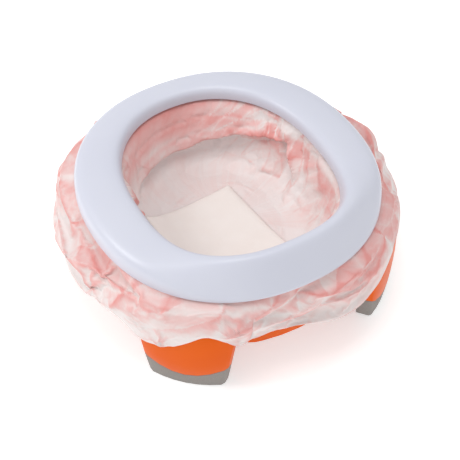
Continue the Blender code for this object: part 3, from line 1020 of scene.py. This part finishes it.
def build_pouch(material):
    """The film pouch hanging inside the seat, with its swags and crumples."""
    start, cut, places = pouch_start()
    faces = film_faces(POUCH_COLUMNS, POUCH_ROWS)
    rows = np.arange(len(start)) % POUCH_ROWS
    x, y, z = start.T
    under = (PAD_LOW.x < x) & (x < PAD_HIGH.x) & (PAD_LOW.y < y) & (y < PAD_HIGH.y)
    under &= z < FLOOR_FILM_Z + 2 * MM
    pinned = np.flatnonzero((rows < 2) | (rows == POUCH_ROWS - 1) | under)
    found = settled("pouch_film", start, cut, faces, pinned, POUCH_GRAVITY)
    faces.append([column * POUCH_ROWS + POUCH_ROWS - 1 for column in range(POUCH_COLUMNS)])
    pouch, turns, levels = crisp("liner_pouch_film", found, faces, places)
    mesh = pouch.data
    for vertex in mesh.vertices:
        angle, r = polar(vertex.co)
        past = POUCH_PAST_BELOW if vertex.co.z < POUCH_NECK_Z else POUCH_PAST_ABOVE
        most = float(hole_outline(angle)) + past
        if r > most:
            vertex.co.x *= most / r
            vertex.co.y *= most / r
        if vertex.co.z < PAD_REACH_Z and on_pad(vertex.co.x, vertex.co.y):
            vertex.co.z = min(vertex.co.z, pouch_floor(vertex.co.x, vertex.co.y))
        vertex.co.z = max(vertex.co.z, FLOOR_FILM_Z)
    mesh.update()
    # Deeper up the wall, paler low at the left and along the lip but at the back, and with painted light
    # and shade keyed to the folds' shape, deeper on the ridges and paler in the hollows.
    # The normals point into the pouch, so a valley is hollow on their side.
    tint_and_shade = 0.12 + 0.50 * smooth((levels - 66 * MM) / (26 * MM))
    tint_and_shade -= 0.3 * bump_at(turns, -170, 45) * smooth((96 * MM - levels) / (20 * MM))
    tint_and_shade -= 0.5 * smooth((levels - 98 * MM) / (6 * MM)) * (1 - bump_at(turns, 95, 40))
    tint_and_shade -= RIDGE_LIGHT_AND_SHADE * hollowness(mesh)
    store_tint_and_shade(mesh, tint_and_shade, turns, levels, pouch_folds, (60 * MM, 30 * MM, 2.5))
    paint(pouch, material)
    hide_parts("liner_pouch")
    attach(pouch, "root")


def build_pad(material):
    """The absorbent pad: a slab, thinner at its edges, that lies on the film and up the lower wall."""
    steps = PAD_STEPS
    places = np.empty((steps + 1, steps + 1, 2))
    base = np.empty((steps + 1, steps + 1))
    for i in range(steps + 1):
        for j in range(steps + 1):
            flat = PAD_CORNER - PAD_ALONG * (i / steps * PAD_WIDE) - PAD_ACROSS * (j / steps * PAD_DEEP)
            places[i, j] = flat
            base[i, j] = pouch_floor(flat.x, flat.y) + PAD_LIES_OFF
    points = []
    for layer in (0, 1):
        for i in range(steps + 1):
            for j in range(steps + 1):
                edge = min(i, steps - i, j, steps - j) * 2 / steps
                crown = min(1, edge * 8) ** 0.5
                thick = PAD_THICK * (PAD_EDGE_SHARE + (1 - PAD_EDGE_SHARE) * crown)
                points.append((*places[i, j], base[i, j] + layer * thick))
    count = (steps + 1) ** 2
    faces = []
    for i in range(steps):
        for j in range(steps):
            a = i * (steps + 1) + j
            b = a + steps + 1
            faces.append((a, a + 1, b + 1, b)[::-1])
            faces.append((count + a, count + a + 1, count + b + 1, count + b))
    rim = list(range(steps))
    rim += [i * (steps + 1) + steps for i in range(steps)]
    rim += [steps * (steps + 1) + j for j in range(steps, 0, -1)]
    rim += [i * (steps + 1) for i in range(steps, 0, -1)]
    for a, b in zip(rim, rim[1:] + rim[:1]):
        faces.append((a, b, count + b, count + a))
    pad = link("absorbent_pad_fluff", mesh_from("absorbent_pad_fluff", points, faces))
    form = bmesh.new()
    form.from_mesh(pad.data)
    bmesh.ops.recalc_face_normals(form, faces=form.faces)
    form.to_mesh(pad.data)
    form.free()
    paint(pad, material)
    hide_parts("absorbent_pad")
    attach(pad, "root")


# ---------------------------------------------------------------- camera, floor and light

def build_camera():
    """The view from the front left, looking down, through a long lens."""
    level = math.cos(CAMERA_ELEVATION)
    away = Vector((math.sin(CAMERA_AZIMUTH) * level, -math.cos(CAMERA_AZIMUTH) * level,
                   math.sin(CAMERA_ELEVATION)))
    data = bpy.data.cameras.new("camera")
    data.lens = CAMERA_LENS
    data.sensor_width = CAMERA_SENSOR
    data.clip_start = 0.05
    data.clip_end = 20
    made = link("camera", data)
    made.location = CAMERA_AIM + away * CAMERA_DISTANCE
    made.rotation_euler = (-away).to_track_quat("-Z", "Y").to_euler()
    bpy.context.scene.camera = made


def area_light(name, place, size, power, colour):
    """A round soft light that shines on the object."""
    data = bpy.data.lights.new(name, "AREA")
    data.shape = "DISK"
    data.size = size
    data.energy = power
    data.color = colour
    made = link(name, data)
    made.location = place
    made.rotation_euler = (Vector(LAMP_AIM) - Vector(place)).to_track_quat("-Z", "Y").to_euler()


def build_stage():
    """A plain white floor under soft light from all round, strongest from above and the back left."""
    corners = [(x * FLOOR_HALF, y * FLOOR_HALF, 0) for x, y in ((-1, -1), (1, -1), (1, 1), (-1, 1))]
    floor = link("floor", mesh_from("floor", corners, [(0, 1, 2, 3)]))
    made = Nodes("floor")
    made.colour(made.noise(3, 1), [(0.3, (0.92, 0.92, 0.92)), (0.7, (0.93, 0.93, 0.93))])
    made.set(Roughness=0.9, Emission_Color=(1, 1, 1, 1), Emission_Strength=FLOOR_GLOW)
    floor.data.materials.append(made.material)
    world = bpy.data.worlds.new("world")
    world.use_nodes = True
    background = world.node_tree.nodes["Background"]
    background.inputs["Color"].default_value = (1.0, 1.0, 1.0, 1)
    background.inputs["Strength"].default_value = WORLD_STRENGTH
    bpy.context.scene.world = world
    for lamp in LAMPS:
        area_light(*lamp)
    bpy.context.scene.view_settings.view_transform = "Standard"


build_camera()
build_stage()
LAVENDER = seat_plastic()
ORANGE = orange_plastic()
RUBBER = grey_rubber()
STEEL = pin_steel()
FILM = liner_film()
FLUFF = pad_fluff()
build_seat(LAVENDER)
build_seat_rib(LAVENDER)
build_hard_parts(ORANGE, RUBBER, STEEL)
build_cuff(FILM)
build_pouch(FILM)
build_pad(FLUFF)
